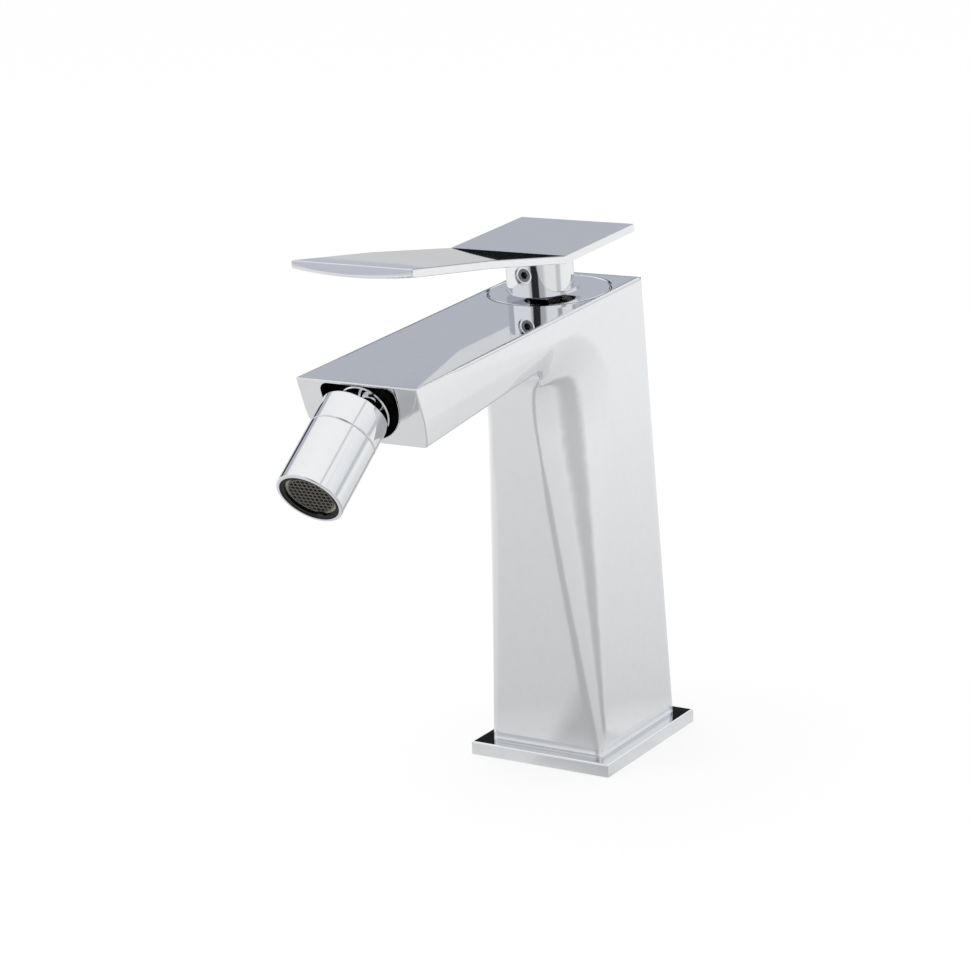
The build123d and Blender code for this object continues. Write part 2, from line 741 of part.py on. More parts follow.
# Lever: bent plate and hub in one casting
with BuildPart() as lever_handle:
    with BuildSketch(Plane.YZ):
        with BuildLine():
            Polyline(*lever_outline, close=True)
        make_face()
    extrude(amount=lever_width / 2, both=True)
    add(lever_crown_form.part)
    nose_face = faces().sort_by(Axis.Y)[0]
    fillet(nose_face.edges().sort_by(Axis.Z)[0], lever_underside_radius)
    fillet(faces().sort_by(Axis.Z)[-2:].edges(), lever_edge_radius)
    with BuildSketch(cap_plane.offset(hub_gap)):
        with Locations((0, hub_offset)):
            Circle(hub_radius)
    extrude(amount=hub_height)
    with BuildSketch(cap_plane.offset(hub_gap)):
        with Locations((0, hub_flange_offset)):
            Circle(hub_flange_radius)
    extrude(amount=hub_flange_height)
    with BuildSketch(hub_relief_plane):
        Rectangle(2 * lever_width, lever_width, align=(Align.CENTER, Align.MIN))
    extrude(amount=-hub_radius, mode=Mode.SUBTRACT)
    with BuildSketch(spindle_plane):
        Rectangle(spindle_width, spindle_width)
    extrude(amount=spindle_rise, mode=Mode.SUBTRACT)
    with BuildSketch(screw_plane):
        Circle(screw_radius)
    extrude(amount=hub_radius, mode=Mode.SUBTRACT)
    with BuildSketch(screw_plane.offset(screw_length)):
        Circle(screw_counterbore_radius)
    extrude(amount=hub_radius, mode=Mode.SUBTRACT)

# Grub screw that clamps the lever on the spindle
with BuildPart() as grub_screw:
    with BuildSketch(screw_plane):
        Circle(screw_radius)
    extrude(amount=screw_length)
    chamfer(faces().sort_by(Axis.Y)[-1].edges(), screw_point)
    with BuildSketch(screw_plane.offset(screw_length)):
        RegularPolygon(screw_hex / 2, 6, major_radius=False)
    extrude(amount=-screw_hex_depth, mode=Mode.SUBTRACT)

# Nipple: threaded shank, cupped flange, neck and ball in one turned piece
with BuildPart() as nozzle_nipple:
    with BuildSketch(pocket_floor):
        Circle(shank_radius)
    extrude(amount=-shank_length)
    with BuildSketch(pocket_floor):
        Circle(shank_radius)
    extrude(amount=washer_height)
    with BuildSketch(flange_seat):
        RegularPolygon(nipple_hex / 2, 6, major_radius=False)
    extrude(amount=-hex_length)
    with BuildSketch(flange_seat):
        Circle(nipple_radius)
    extrude(amount=-nipple_flange_height)
    chamfer(edges().filter_by(GeomType.CIRCLE).group_by(SortBy.RADIUS)[-1], nipple_flange_edge)
    with BuildSketch(flange_seat):
        Circle(nipple_neck_radius)
    extrude(amount=neck_length)
    with Locations(nozzle_plane.location):
        Sphere(ball_radius)
    with BuildSketch(pocket_floor.offset(-shank_length)):
        Circle(nipple_bore_radius)
    extrude(amount=nipple_length, mode=Mode.SUBTRACT)

# Washer under the nipple's flange
with BuildPart() as nipple_washer:
    with BuildSketch(pocket_floor):
        Circle(washer_radius)
        Circle(shank_radius, mode=Mode.SUBTRACT)
    extrude(amount=washer_height)

# Plastic liner between the ball and the collar
with BuildPart() as ball_liner:
    with BuildSketch(nozzle_plane.offset(-liner_back)):
        Circle(liner_radius)
    extrude(amount=liner_back - liner_front)
    with Locations(nozzle_plane.location):
        Sphere(liner_radius, mode=Mode.INTERSECT)
        Sphere(ball_radius + ball_gap, mode=Mode.SUBTRACT)

# Rear collar that holds the liner and the ball
with BuildPart() as nozzle_collar:
    with BuildSketch(nozzle_plane.offset(-collar_back)):
        Circle(nozzle_radius)
    extrude(amount=collar_back + collar_front)
    fillet(edges(), nozzle_edge_radius)
    with Locations(nozzle_plane.location):
        Sphere(liner_radius + ball_gap, mode=Mode.SUBTRACT)
    with BuildSketch(nozzle_plane):
        Circle(collar_mouth_radius)
    extrude(amount=-collar_back, mode=Mode.SUBTRACT)
    with BuildSketch(nozzle_plane.offset(collar_thread_start)):
        Circle(thread_radius + thread_gap)
    extrude(amount=collar_front, mode=Mode.SUBTRACT)

# Front shell with the outlet
with BuildPart() as nozzle_body:
    with BuildSketch(nozzle_plane.offset(collar_front)):
        Circle(nozzle_radius)
    extrude(amount=outlet_distance - collar_front)
    fillet(edges(), nozzle_edge_radius)
    with BuildSketch(nozzle_plane.offset(collar_thread_start)):
        Circle(thread_radius)
    extrude(amount=collar_front)
    with Locations(nozzle_plane.location):
        Sphere(liner_radius + seat_clearance, mode=Mode.SUBTRACT)
    with BuildSketch(nozzle_plane.offset(ball_seal_start)):
        Circle(seal_seat_radius)
    extrude(amount=ball_seal_end - ball_seal_start, mode=Mode.SUBTRACT)
    with BuildSketch(nozzle_plane):
        Circle(throat_radius)
    extrude(amount=outlet_distance, mode=Mode.SUBTRACT)
    with BuildSketch(outlet_plane):
        Circle(aerator_radius + aerator_gap)
    extrude(amount=-aerator_bore_depth, mode=Mode.SUBTRACT)

# Ring seal on the ball
with BuildPart() as ball_seal:
    with BuildSketch(nozzle_plane.offset(ball_seal_start)):
        Circle(seal_seat_radius - ball_gap)
    extrude(amount=ball_seal_end - ball_seal_start)
    with BuildSketch(nozzle_plane):
        Circle(ball_seal_bore_radius)
    extrude(amount=outlet_distance, mode=Mode.SUBTRACT)
    with Locations(nozzle_plane.location):
        Sphere(ball_radius + ball_gap, mode=Mode.SUBTRACT)

# Aerator: flat seal, threaded ring, insert and mesh
with BuildPart() as aerator_seal:
    with BuildSketch(aerator_top):
        Circle(aerator_radius)
        Circle(aerator_seal_radius, mode=Mode.SUBTRACT)
    extrude(amount=-aerator_seal_height)

with BuildPart() as aerator_housing:
    with BuildSketch(aerator_top):
        Circle(aerator_radius)
        Circle(aerator_ring_radius, mode=Mode.SUBTRACT)
    extrude(amount=aerator_length)
    with BuildSketch(aerator_top.offset(aerator_length)):
        with Locations((0, -aerator_ring_radius)):
            Rectangle(key_tab_width, 2 * key_tab_height)
        Circle(aerator_ring_radius - key_tab_height, mode=Mode.SUBTRACT)
    extrude(amount=-mesh_height)

with BuildPart() as aerator_insert:
    with BuildSketch(aerator_top):
        Circle(aerator_ring_radius - aerator_gap)
        Circle(insert_inner_radius, mode=Mode.SUBTRACT)
    extrude(amount=insert_length)

with BuildPart() as aerator_mesh:
    with BuildSketch(mesh_plane):
        Circle(mesh_radius)
        with GridLocations(mesh_pitch, mesh_pitch, mesh_count, mesh_count):
            Rectangle(mesh_pitch - mesh_bar, mesh_pitch - mesh_bar, mode=Mode.SUBTRACT)
    extrude(amount=-mesh_height)
    with BuildSketch(mesh_plane):
        Circle(mesh_radius)
        Circle(mesh_radius - mesh_rim, mode=Mode.SUBTRACT)
    extrude(amount=-mesh_height)

os.makedirs("parts", exist_ok=True)
base_plate.part.label = "base_plate"
export_step(base_plate.part, "parts/base_plate.step")
base_gasket.part.label = "base_gasket"
export_step(base_gasket.part, "parts/base_gasket.step")
body_casting.part.label = "body_casting"
export_step(body_casting.part, "parts/body_casting.step")
cartridge_base.part.label = "cartridge_base"
export_step(cartridge_base.part, "parts/cartridge_base.step")
port_seals.part.label = "port_seals"
export_step(port_seals.part, "parts/port_seals.step")
disc_seals.part.label = "disc_seals"
export_step(disc_seals.part, "parts/disc_seals.step")
fixed_disc.part.label = "fixed_disc"
export_step(fixed_disc.part, "parts/fixed_disc.step")
moving_disc.part.label = "moving_disc"
export_step(moving_disc.part, "parts/moving_disc.step")
disc_carrier.part.label = "disc_carrier"
export_step(disc_carrier.part, "parts/disc_carrier.step")
cartridge_housing.part.label = "cartridge_housing"
export_step(cartridge_housing.part, "parts/cartridge_housing.step")
spindle_guide.part.label = "spindle_guide"
export_step(spindle_guide.part, "parts/spindle_guide.step")
spindle_pin.part.label = "spindle_pin"
export_step(spindle_pin.part, "parts/spindle_pin.step")
cartridge_spindle.part.label = "cartridge_spindle"
export_step(cartridge_spindle.part, "parts/cartridge_spindle.step")
retaining_nut.part.label = "retaining_nut"
export_step(retaining_nut.part, "parts/retaining_nut.step")
cap_ring.part.label = "cap_ring"
export_step(cap_ring.part, "parts/cap_ring.step")
lever_handle.part.label = "lever_handle"
export_step(lever_handle.part, "parts/lever_handle.step")
grub_screw.part.label = "grub_screw"
export_step(grub_screw.part, "parts/grub_screw.step")
nozzle_nipple.part.label = "nozzle_nipple"
export_step(nozzle_nipple.part, "parts/nozzle_nipple.step")
nipple_washer.part.label = "nipple_washer"
export_step(nipple_washer.part, "parts/nipple_washer.step")
ball_liner.part.label = "ball_liner"
export_step(ball_liner.part, "parts/ball_liner.step")
nozzle_collar.part.label = "nozzle_collar"
export_step(nozzle_collar.part, "parts/nozzle_collar.step")
nozzle_body.part.label = "nozzle_body"
export_step(nozzle_body.part, "parts/nozzle_body.step")
ball_seal.part.label = "ball_seal"
export_step(ball_seal.part, "parts/ball_seal.step")
aerator_seal.part.label = "aerator_seal"
export_step(aerator_seal.part, "parts/aerator_seal.step")
aerator_housing.part.label = "aerator_housing"
export_step(aerator_housing.part, "parts/aerator_housing.step")
aerator_insert.part.label = "aerator_insert"
export_step(aerator_insert.part, "parts/aerator_insert.step")
aerator_mesh.part.label = "aerator_mesh"
export_step(aerator_mesh.part, "parts/aerator_mesh.step")
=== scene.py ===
"""Finishes, studio and camera for a single-lever bidet mixer.

Lengths in the finishes and the sub-assemblies are in millimetres, those in the studio in metres.
"""

import logging
import math
from dataclasses import dataclass, field
from enum import Enum

import bpy
from bpy.types import Material, Mesh, Node, NodeSocket, NodeTree, Object
from mathutils import Matrix, Vector

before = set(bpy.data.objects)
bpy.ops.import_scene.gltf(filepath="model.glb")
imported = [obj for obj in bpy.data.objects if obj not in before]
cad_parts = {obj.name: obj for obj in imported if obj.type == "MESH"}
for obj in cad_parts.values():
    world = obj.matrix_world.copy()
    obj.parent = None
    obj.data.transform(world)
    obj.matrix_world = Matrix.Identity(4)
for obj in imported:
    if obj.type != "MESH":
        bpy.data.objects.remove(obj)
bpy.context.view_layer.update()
log = logging.getLogger("bidet_mixer")
MM = 0.001
WHITE = (1.0, 1.0, 1.0, 1.0)
BLACK = (0.0, 0.0, 0.0, 1.0)
# The sRGB curve: a straight foot up to the knee, and a power above it
SRGB_KNEE = 0.04045
SRGB_FOOT = 12.92
SRGB_OFFSET = 0.055
SRGB_POWER = 2.4
# Width of one band of the wave texture at a scale of one
WAVE_BAND = math.tau / 20


def to_linear(hex_colour: str) -> tuple[float, float, float, float]:
    """Turn an sRGB hex colour into linear values.

    Args:
        hex_colour: Six hex digits after a hash, such as "#c8cacc".

    Returns:
        Linear red, green and blue with an alpha of one.
    """
    channels = [int(hex_colour[i : i + 2], 16) / 255 for i in (1, 3, 5)]
    linear = [
        c / SRGB_FOOT if c <= SRGB_KNEE else ((c + SRGB_OFFSET) / (1 + SRGB_OFFSET)) ** SRGB_POWER
        for c in channels
    ]
    return (linear[0], linear[1], linear[2], 1.0)


def add_node(tree: NodeTree, kind: str, inputs: dict | None = None, **settings: object) -> Node:
    """Add one node with its settings, its socket values and its links.

    Args:
        tree: The node tree that gets the node.
        kind: The node's type name in Blender.
        inputs: Socket name or number to a value, or to an output socket to link from.
        **settings: Properties of the node itself, such as its operation.

    Returns:
        The new node.
    """
    node = tree.nodes.new(kind)
    for name, value in settings.items():
        setattr(node, name, value)
    for name, value in (inputs or {}).items():
        if isinstance(value, NodeSocket):
            tree.links.new(value, node.inputs[name])
        else:
            node.inputs[name].default_value = value
    return node


def fill_ramp(node: Node, stops: list[tuple[float, tuple[float, float, float, float]]]) -> None:
    """Set the stops of a colour ramp node.

    Args:
        node: The colour ramp node.
        stops: Position and linear colour of each stop, from low to high.
    """
    ramp = node.color_ramp
    while len(ramp.elements) < len(stops):
        ramp.elements.new(1.0)
    for element, (position, colour) in zip(ramp.elements, stops):
        element.position = position
        element.color = colour


def new_material(name: str) -> tuple[Material, NodeTree, Node]:
    """Make an empty node material with its output and main shader.

    Args:
        name: The material's name.

    Returns:
        The material, its node tree and its Principled shader.
    """
    material = bpy.data.materials.new(name)
    material.use_nodes = True
    tree = material.node_tree
    tree.nodes.clear()
    shader = add_node(tree, "ShaderNodeBsdfPrincipled")
    add_node(tree, "ShaderNodeOutputMaterial", {"Surface": shader.outputs["BSDF"]})
    return material, tree, shader


def per_metre(millimetres: float) -> float:
    """Pattern scale for Blender's textures from a feature's real width."""
    return 1.0 / (millimetres * MM)


@dataclass(frozen=True)
class BrightChromePlate:
    """Nickel-chrome plate on polished brass.

    The plate is a mirror with a faint blue cast. Buffing before plating leaves a long, shallow
    waviness and a few hairlines, and handling leaves a thin haze in patches.
    """

    name: str = "bright_chrome_plate"
    colour: str = "#e9eaec"
    haze_colour: str = "#e5e7e9"
    roughness: float = 0.03
    haze_roughness: float = 0.045
    wave_width: float = 30.0
    wave_height: float = 0.002
    haze_width: float = 4.0
    haze_from: float = 0.5
    haze_to: float = 0.85
    hairline_width: float = 0.4
    hairline_height: float = 0.0003
    hairline_stretch: float = 0.06
    # Rounding of a casting's edges, none at zero, and less at the nose between two places along Y
    edge_round: float = 0.0
    edge_samples: int = 16
    thin_wall_round: float = 0.7
    thin_wall_from: float = -118.0
    thin_wall_to: float = -124.0
    # Growth of the rounding down the shank, between two heights
    shank_growth: float = 1.2
    shank_from: float = 148.0
    shank_to: float = 118.0
    # Where the waterway's wall is thinnest, and the distances that the rounding grows back over
    waterway_wall: tuple[float, float, float] = (0.0, -44.5, 125.0)
    waterway_near: float = 5.0
    waterway_far: float = 20.0

    def build(self) -> Material:
        """Make the material.

        Returns:
            The finished material.
        """
        material, tree, shader = new_material(self.name)
        place = add_node(tree, "ShaderNodeTexCoord").outputs["Object"]
        haze = add_node(
            tree,
            "ShaderNodeTexNoise",
            {"Vector": place, "Scale": per_metre(self.haze_width), "Detail": 3.0},
        )
        patches = add_node(tree, "ShaderNodeValToRGB", {"Fac": haze.outputs["Fac"]})
        fill_ramp(patches, [(self.haze_from, BLACK), (self.haze_to, WHITE)])
        tint = add_node(
            tree,
            "ShaderNodeMix",
            {0: patches.outputs["Color"], 6: to_linear(self.colour), 7: to_linear(self.haze_colour)},
            data_type="RGBA",
        )
        gloss = add_node(
            tree,
            "ShaderNodeMapRange",
            {"Value": patches.outputs["Color"], "To Min": self.roughness, "To Max": self.haze_roughness},
        )
        # Buffing waves, about a hundredth of a degree, that bend a mirrored edge a little
        waves = add_node(
            tree,
            "ShaderNodeTexNoise",
            {"Vector": place, "Scale": per_metre(self.wave_width), "Detail": 1.0},
        )
        wave_bump = add_node(
            tree,
            "ShaderNodeBump",
            {"Height": waves.outputs["Fac"], "Strength": 1.0, "Distance": self.wave_height * MM},
        )
        if self.edge_round:
            tree.links.new(self.rounded_edges(tree, place), wave_bump.inputs["Normal"])
        # Hairlines along the buffing direction, drawn wider than the real 0.02 mm so that they show
        along = self.hairline_stretch
        stretch = add_node(
            tree, "ShaderNodeMapping", {"Vector": place, "Scale": (1.0, along, along)}, vector_type="POINT"
        )
        hairlines = add_node(
            tree,
            "ShaderNodeTexNoise",
            {"Vector": stretch.outputs["Vector"], "Scale": per_metre(self.hairline_width), "Detail": 2.0},
        )
        hairline_bump = add_node(
            tree,
            "ShaderNodeBump",
            {
                "Height": hairlines.outputs["Fac"],
                "Strength": 1.0,
                "Distance": self.hairline_height * MM,
                "Normal": wave_bump.outputs["Normal"],
            },
        )
        shader.inputs["Metallic"].default_value = 1.0
        tree.links.new(tint.outputs[2], shader.inputs["Base Color"])
        tree.links.new(gloss.outputs["Result"], shader.inputs["Roughness"])
        tree.links.new(hairline_bump.outputs["Normal"], shader.inputs["Normal"])
        return material

    def rounded_edges(self, tree: NodeTree, place: NodeSocket) -> NodeSocket:
        """Round a casting's edges in the shading, as the polishing mop does.

        The mop works longest down the shank and rounds the edges most there, and least round the thin
        walls of the nose. No edge lies where the waterway's wall is thinnest, so nothing is rounded near
        that place.

        Args:
            tree: The node tree that gets the nodes.
            place: The place on the casting.

        Returns:
            The socket with the rounded normal.
        """
        axes = add_node(tree, "ShaderNodeSeparateXYZ", {0: place})
        radius = add_node(
            tree,
            "ShaderNodeMapRange",
            {
                "Value": axes.outputs["Y"],
                "From Min": self.thin_wall_to * MM,
                "From Max": self.thin_wall_from * MM,
                "To Min": self.thin_wall_round * MM,
                "To Max": self.edge_round * MM,
            },
        )
        shank = add_node(
            tree,
            "ShaderNodeMapRange",
            {
                "Value": axes.outputs["Z"],
                "From Min": self.shank_to * MM,
                "From Max": self.shank_from * MM,
                "To Min": 1.0 + self.shank_growth,
                "To Max": 1.0,
            },
        )
        waterway = add_node(
            tree,
            "ShaderNodeVectorMath",
            {0: place, 1: tuple(length * MM for length in self.waterway_wall)},
            operation="DISTANCE",
        )
        clear = add_node(
            tree,
            "ShaderNodeMapRange",
            {
                "Value": waterway.outputs["Value"],
                "From Min": self.waterway_near * MM,
                "From Max": self.waterway_far * MM,
            },
        )
        width: NodeSocket = radius.outputs["Result"]
        for share in (shank, clear):
            product = add_node(
                tree, "ShaderNodeMath", {0: width, 1: share.outputs["Result"]}, operation="MULTIPLY"
            )
            width = product.outputs[0]
        mopped = add_node(tree, "ShaderNodeBevel", {"Radius": width}, samples=self.edge_samples)
        return mopped.outputs["Normal"]


@dataclass(frozen=True)
class PaintedPocketShade:
    """Painted shade for the inside of the deep nose pocket: a dark, satin metal in place of the bright
    chrome.
    """

    name: str = "painted_pocket_shade"
    colour: str = "#38393c"
    # A still darker colour, mixed in with the grain, so that the painted shade is uneven
    deeper_shade_colour: str = "#242424"
    roughness: float = 0.42
    cast_grain_width: float = 0.6
    cast_grain_height: float = 0.01

    def build(self) -> Material:
        """Make the material.

        Returns:
            The finished material.
        """
        material, tree, shader = new_material(self.name)
        place = add_node(tree, "ShaderNodeTexCoord").outputs["Object"]
        grain = add_node(
            tree,
            "ShaderNodeTexNoise",
            {"Vector": place, "Scale": per_metre(self.cast_grain_width), "Detail": 3.0},
        )
        tint = add_node(
            tree,
            "ShaderNodeMix",
            {0: grain.outputs["Fac"], 6: to_linear(self.colour), 7: to_linear(self.deeper_shade_colour)},
            data_type="RGBA",
        )
        bump = add_node(
            tree,
            "ShaderNodeBump",
            {"Height": grain.outputs["Fac"], "Strength": 1.0, "Distance": self.cast_grain_height * MM},
        )
        shader.inputs["Metallic"].default_value = 1.0
        shader.inputs["Roughness"].default_value = self.roughness
        tree.links.new(tint.outputs[2], shader.inputs["Base Color"])
        tree.links.new(bump.outputs["Normal"], shader.inputs["Normal"])
        return material


@dataclass(frozen=True)
class TurnedMetal:
    """Bare metal turned on a lathe, with fine rings from the tool and a slightly uneven colour."""

    name: str
    colour: str
    worn_colour: str
    roughness: float = 0.24
    worn_roughness: float = 0.38
    ring_pitch: float = 2.199
    ring_height: float = 0.004
    stain_width: float = 4.0

    def build(self) -> Material:
        """Make the material.

        Returns:
            The finished material.
        """
        material, tree, shader = new_material(self.name)
        place = add_node(tree, "ShaderNodeTexCoord").outputs["Object"]
        stains = add_node(
            tree,
            "ShaderNodeTexNoise",
            {"Vector": place, "Scale": per_metre(self.stain_width), "Detail": 4.0},
        )
        tint = add_node(
            tree,
            "ShaderNodeMix",
            {0: stains.outputs["Fac"], 6: to_linear(self.colour), 7: to_linear(self.worn_colour)},
            data_type="RGBA",
        )
        gloss = add_node(
            tree,
            "ShaderNodeMapRange",
            {"Value": stains.outputs["Fac"], "To Min": self.roughness, "To Max": self.worn_roughness},
        )
        # Turning marks round the vertical, drawn wider than the real 0.1 mm so that they show
        ring_scale = WAVE_BAND * per_metre(self.ring_pitch)
        rings = add_node(
            tree,
            "ShaderNodeTexWave",
            {"Vector": place, "Scale": ring_scale, "Distortion": 0.6, "Detail": 1.0},
            bands_direction="Z",
        )
        bump = add_node(
            tree,
            "ShaderNodeBump",
            {"Height": rings.outputs["Fac"], "Strength": 1.0, "Distance": self.ring_height * MM},
        )
        shader.inputs["Metallic"].default_value = 1.0
        tree.links.new(tint.outputs[2], shader.inputs["Base Color"])
        tree.links.new(gloss.outputs["Result"], shader.inputs["Roughness"])
        tree.links.new(bump.outputs["Normal"], shader.inputs["Normal"])
        return material


class AcetalColour(Enum):
    """Colours that the acetal mouldings come in."""

    NATURAL = ("#dcdad2", "#cfccc2")
    BLACK = ("#060607", "#0c0c0d")
    GREY = ("#a9a79c", "#928f83")
    UMBER = ("#4c4a42", "#383630")


@dataclass(frozen=True)
class MouldedAcetal:
    """Injection-moulded acetal: a waxy semi-gloss with a spark-eroded mould texture."""

    name: str
    colour: AcetalColour
    roughness: float = 0.34
    ior: float = 1.48
    specular: float = 0.5
    grain_width: float = 0.25
    grain_height: float = 0.006
    flow_width: float = 6.0

    def build(self) -> Material:
        """Make the material.

        Returns:
            The finished material.
        """
        material, tree, shader = new_material(self.name)
        place = add_node(tree, "ShaderNodeTexCoord").outputs["Object"]
        flow = add_node(
            tree,
            "ShaderNodeTexNoise",
            {"Vector": place, "Scale": per_metre(self.flow_width), "Detail": 2.0},
        )
        light, deep = self.colour.value
        tint = add_node(
            tree,
            "ShaderNodeMix",
            {0: flow.outputs["Fac"], 6: to_linear(light), 7: to_linear(deep)},
            data_type="RGBA",
        )
        # Mould grain, drawn at a quarter of a millimetre so that it shows
        grain = add_node(
            tree, "ShaderNodeTexVoronoi", {"Vector": place, "Scale": per_metre(self.grain_width)}
        )
        bump = add_node(
            tree,
            "ShaderNodeBump",
            {"Height": grain.outputs["Distance"], "Strength": 1.0, "Distance": self.grain_height * MM},
        )
        shader.inputs["Roughness"].default_value = self.roughness
        shader.inputs["IOR"].default_value = self.ior
        shader.inputs["Specular IOR Level"].default_value = self.specular
        tree.links.new(tint.outputs[2], shader.inputs["Base Color"])
        tree.links.new(bump.outputs["Normal"], shader.inputs["Normal"])
        return material


@dataclass(frozen=True)
class NitrileRubber:
    """Moulded nitrile rubber: matt black with a dusty bloom."""

    name: str = "nitrile_rubber"
    colour: str = "#101011"
    bloom_colour: str = "#242424"
    roughness: float = 0.72
    bloom_width: float = 3.0
    grain_width: float = 0.4
    grain_height: float = 0.02
    grain_strength: float = 0.6

    def build(self) -> Material:
        """Make the material.

        Returns:
            The finished material.
        """
        material, tree, shader = new_material(self.name)
        place = add_node(tree, "ShaderNodeTexCoord").outputs["Object"]
        bloom = add_node(
            tree,
            "ShaderNodeTexNoise",
            {"Vector": place, "Scale": per_metre(self.bloom_width), "Detail": 5.0},
        )
        tint = add_node(
            tree,
            "ShaderNodeMix",
            {0: bloom.outputs["Fac"], 6: to_linear(self.colour), 7: to_linear(self.bloom_colour)},
            data_type="RGBA",
        )
        grain = add_node(
            tree, "ShaderNodeTexNoise", {"Vector": place, "Scale": per_metre(self.grain_width)}
        )
        bump = add_node(
            tree,
            "ShaderNodeBump",
            {
                "Height": grain.outputs["Fac"],
                "Strength": self.grain_strength,
                "Distance": self.grain_height * MM,
            },
        )
        shader.inputs["Roughness"].default_value = self.roughness
        tree.links.new(tint.outputs[2], shader.inputs["Base Color"])
        tree.links.new(bump.outputs["Normal"], shader.inputs["Normal"])
        return material


@dataclass(frozen=True)
class LappedAlumina:
    """Alumina ceramic lapped flat: off-white, dense, with a faint speckle and a soft sheen."""

    name: str = "lapped_alumina"
    colour: str = "#efece4"
    speckle_colour: str = "#d9d4c6"
    roughness: float = 0.16
    ior: float = 1.76
    speckle_width: float = 0.5
    speckle_from: float = 0.55
    speckle_to: float = 0.75

    def build(self) -> Material:
        """Make the material.

        Returns:
            The finished material.
        """
        material, tree, shader = new_material(self.name)
        place = add_node(tree, "ShaderNodeTexCoord").outputs["Object"]
        speckle = add_node(
            tree,
            "ShaderNodeTexNoise",
            {"Vector": place, "Scale": per_metre(self.speckle_width), "Detail": 6.0},
        )
        dots = add_node(tree, "ShaderNodeValToRGB", {"Fac": speckle.outputs["Fac"]})
        fill_ramp(
            dots,
            [
                (self.speckle_from, to_linear(self.colour)),
                (self.speckle_to, to_linear(self.speckle_colour)),
            ],
        )
        shader.inputs["Roughness"].default_value = self.roughness
        shader.inputs["IOR"].default_value = self.ior
        tree.links.new(dots.outputs["Color"], shader.inputs["Base Color"])
        return material


@dataclass
class Finishes:
    """Every finish of the mixer, built once and shared by the pieces."""

    chrome: Material = field(default_factory=lambda: BrightChromePlate().build())
    mopped_chrome: Material = field(
        default_factory=lambda: BrightChromePlate("mopped_chrome_plate", edge_round=2.0).build()
    )
    # Painted shade: the nose pocket's walls get this dark metal, where the recess lies in shade
    pocket_shade: Material = field(default_factory=lambda: PaintedPocketShade().build())
    brass: Material = field(
        default_factory=lambda: TurnedMetal("turned_brass", "#c9a35c", "#b08a47").build()
    )
    steel: Material = field(
        default_factory=lambda: TurnedMetal("turned_steel", "#8f8f90", "#6f6f71").build()
    )
    natural_acetal: Material = field(
        default_factory=lambda: MouldedAcetal("natural_acetal", AcetalColour.NATURAL).build()
    )
    black_acetal: Material = field(
        default_factory=lambda: MouldedAcetal("black_acetal", AcetalColour.BLACK, specular=0.15).build()
    )
    grey_acetal: Material = field(
        default_factory=lambda: MouldedAcetal("grey_acetal", AcetalColour.GREY).build()
    )
    umber_acetal: Material = field(
        default_factory=lambda: MouldedAcetal("umber_acetal", AcetalColour.UMBER).build()
    )
    rubber: Material = field(default_factory=lambda: NitrileRubber().build())
    ceramic: Material = field(default_factory=lambda: LappedAlumina().build())


@dataclass
class SubAssembly:
    """A group of the mixer's own solids that share a place in the mixer."""

    finishes: Finishes
    smooth_angle: float = 28.0
    weld_gap: float = 0.002

    def dress(self, finish: Material, *names: str) -> None:
        """Give solids their finish and smooth shading.

        Args:
            finish: The material for all of them.
            *names: The solids' names.
        """
        for name in names:
            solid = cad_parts[name]
            solid.data.materials.clear()
            solid.data.materials.append(finish)
            solid.data.polygons.foreach_set("material_index", [0] * len(solid.data.polygons))
            self.smooth(solid)
            log.info("dressed %s in %s", name, finish.name)

    def smooth(self, solid: Object) -> None:
        """Shade a solid smooth, with its real edges kept sharp.

        Args:
            solid: The object to shade.
        """
        weld = solid.modifiers.new("join seams", "WELD")
        weld.merge_threshold = self.weld_gap * MM
        solid.data.shade_smooth()
        split = solid.modifiers.new("keep edges", "EDGE_SPLIT")
        split.split_angle = math.radians(self.smooth_angle)
        solid.modifiers.new("keep flats flat", "WEIGHTED_NORMAL")


@dataclass
class Column(SubAssembly):
    """The twisted casting, its foot and its flush cap.

    The pocket is placed by distances down the nose face from its top edge.
    """

    nose_top: tuple[float, float, float] = (0.0, -146.2, 172.2)
    face_slope: float = 21.2
    spout_slope: float = 3.45
    pocket_radius: float = 14.9
    pocket_centre_drop: float = 7.5
    pocket_roof_drop: float = 0.9
    pocket_depth: float = 8.0
    pocket_slack: float = 0.2
    roof_slack: float = 0.1

    def build(self) -> None:
        """Dress the casting's pieces."""
        self.dress(self.finishes.mopped_chrome, "body_casting")
        self.dress(self.finishes.chrome, "base_plate", "cap_ring")
        self.dress(self.finishes.rubber, "base_gasket")
        self.paint_pocket_shade(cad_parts["body_casting"])

    def paint_pocket_shade(self, casting: Object) -> None:
        """Paint shade on the walls of the nose pocket, by giving them a dark material of their own.

        Args:
            casting: The casting that the pocket is cut in.
        """
        face, spout = math.radians(self.face_slope), math.radians(self.spout_slope)
        outward = Vector((0.0, -math.cos(face), -math.sin(face)))
        downward = Vector((0.0, math.sin(face), -math.cos(face)))
        inward = Vector((0.0, math.cos(spout), math.sin(spout)))
        reach = self.pocket_radius + self.pocket_slack
        casting.data.materials.append(self.finishes.pocket_shade)
        for polygon in casting.data.polygons:
            place = casting.matrix_world @ polygon.center / MM - Vector(self.nose_top)
            depth = place.dot(outward) / inward.dot(outward)
            place -= inward * depth
            drop = place.dot(downward)
            inside = self.pocket_slack < depth < self.pocket_depth + self.pocket_slack
            under_roof = drop > self.pocket_roof_drop - self.roof_slack
            round_part = math.hypot(place.x, drop - self.pocket_centre_drop) < reach
            square_part = abs(place.x) < reach and drop < self.pocket_centre_drop
            # Polygons inside the pocket get the dark material, as painted shade
            if inside and under_roof and (round_part or square_part):
                polygon.material_index = 1


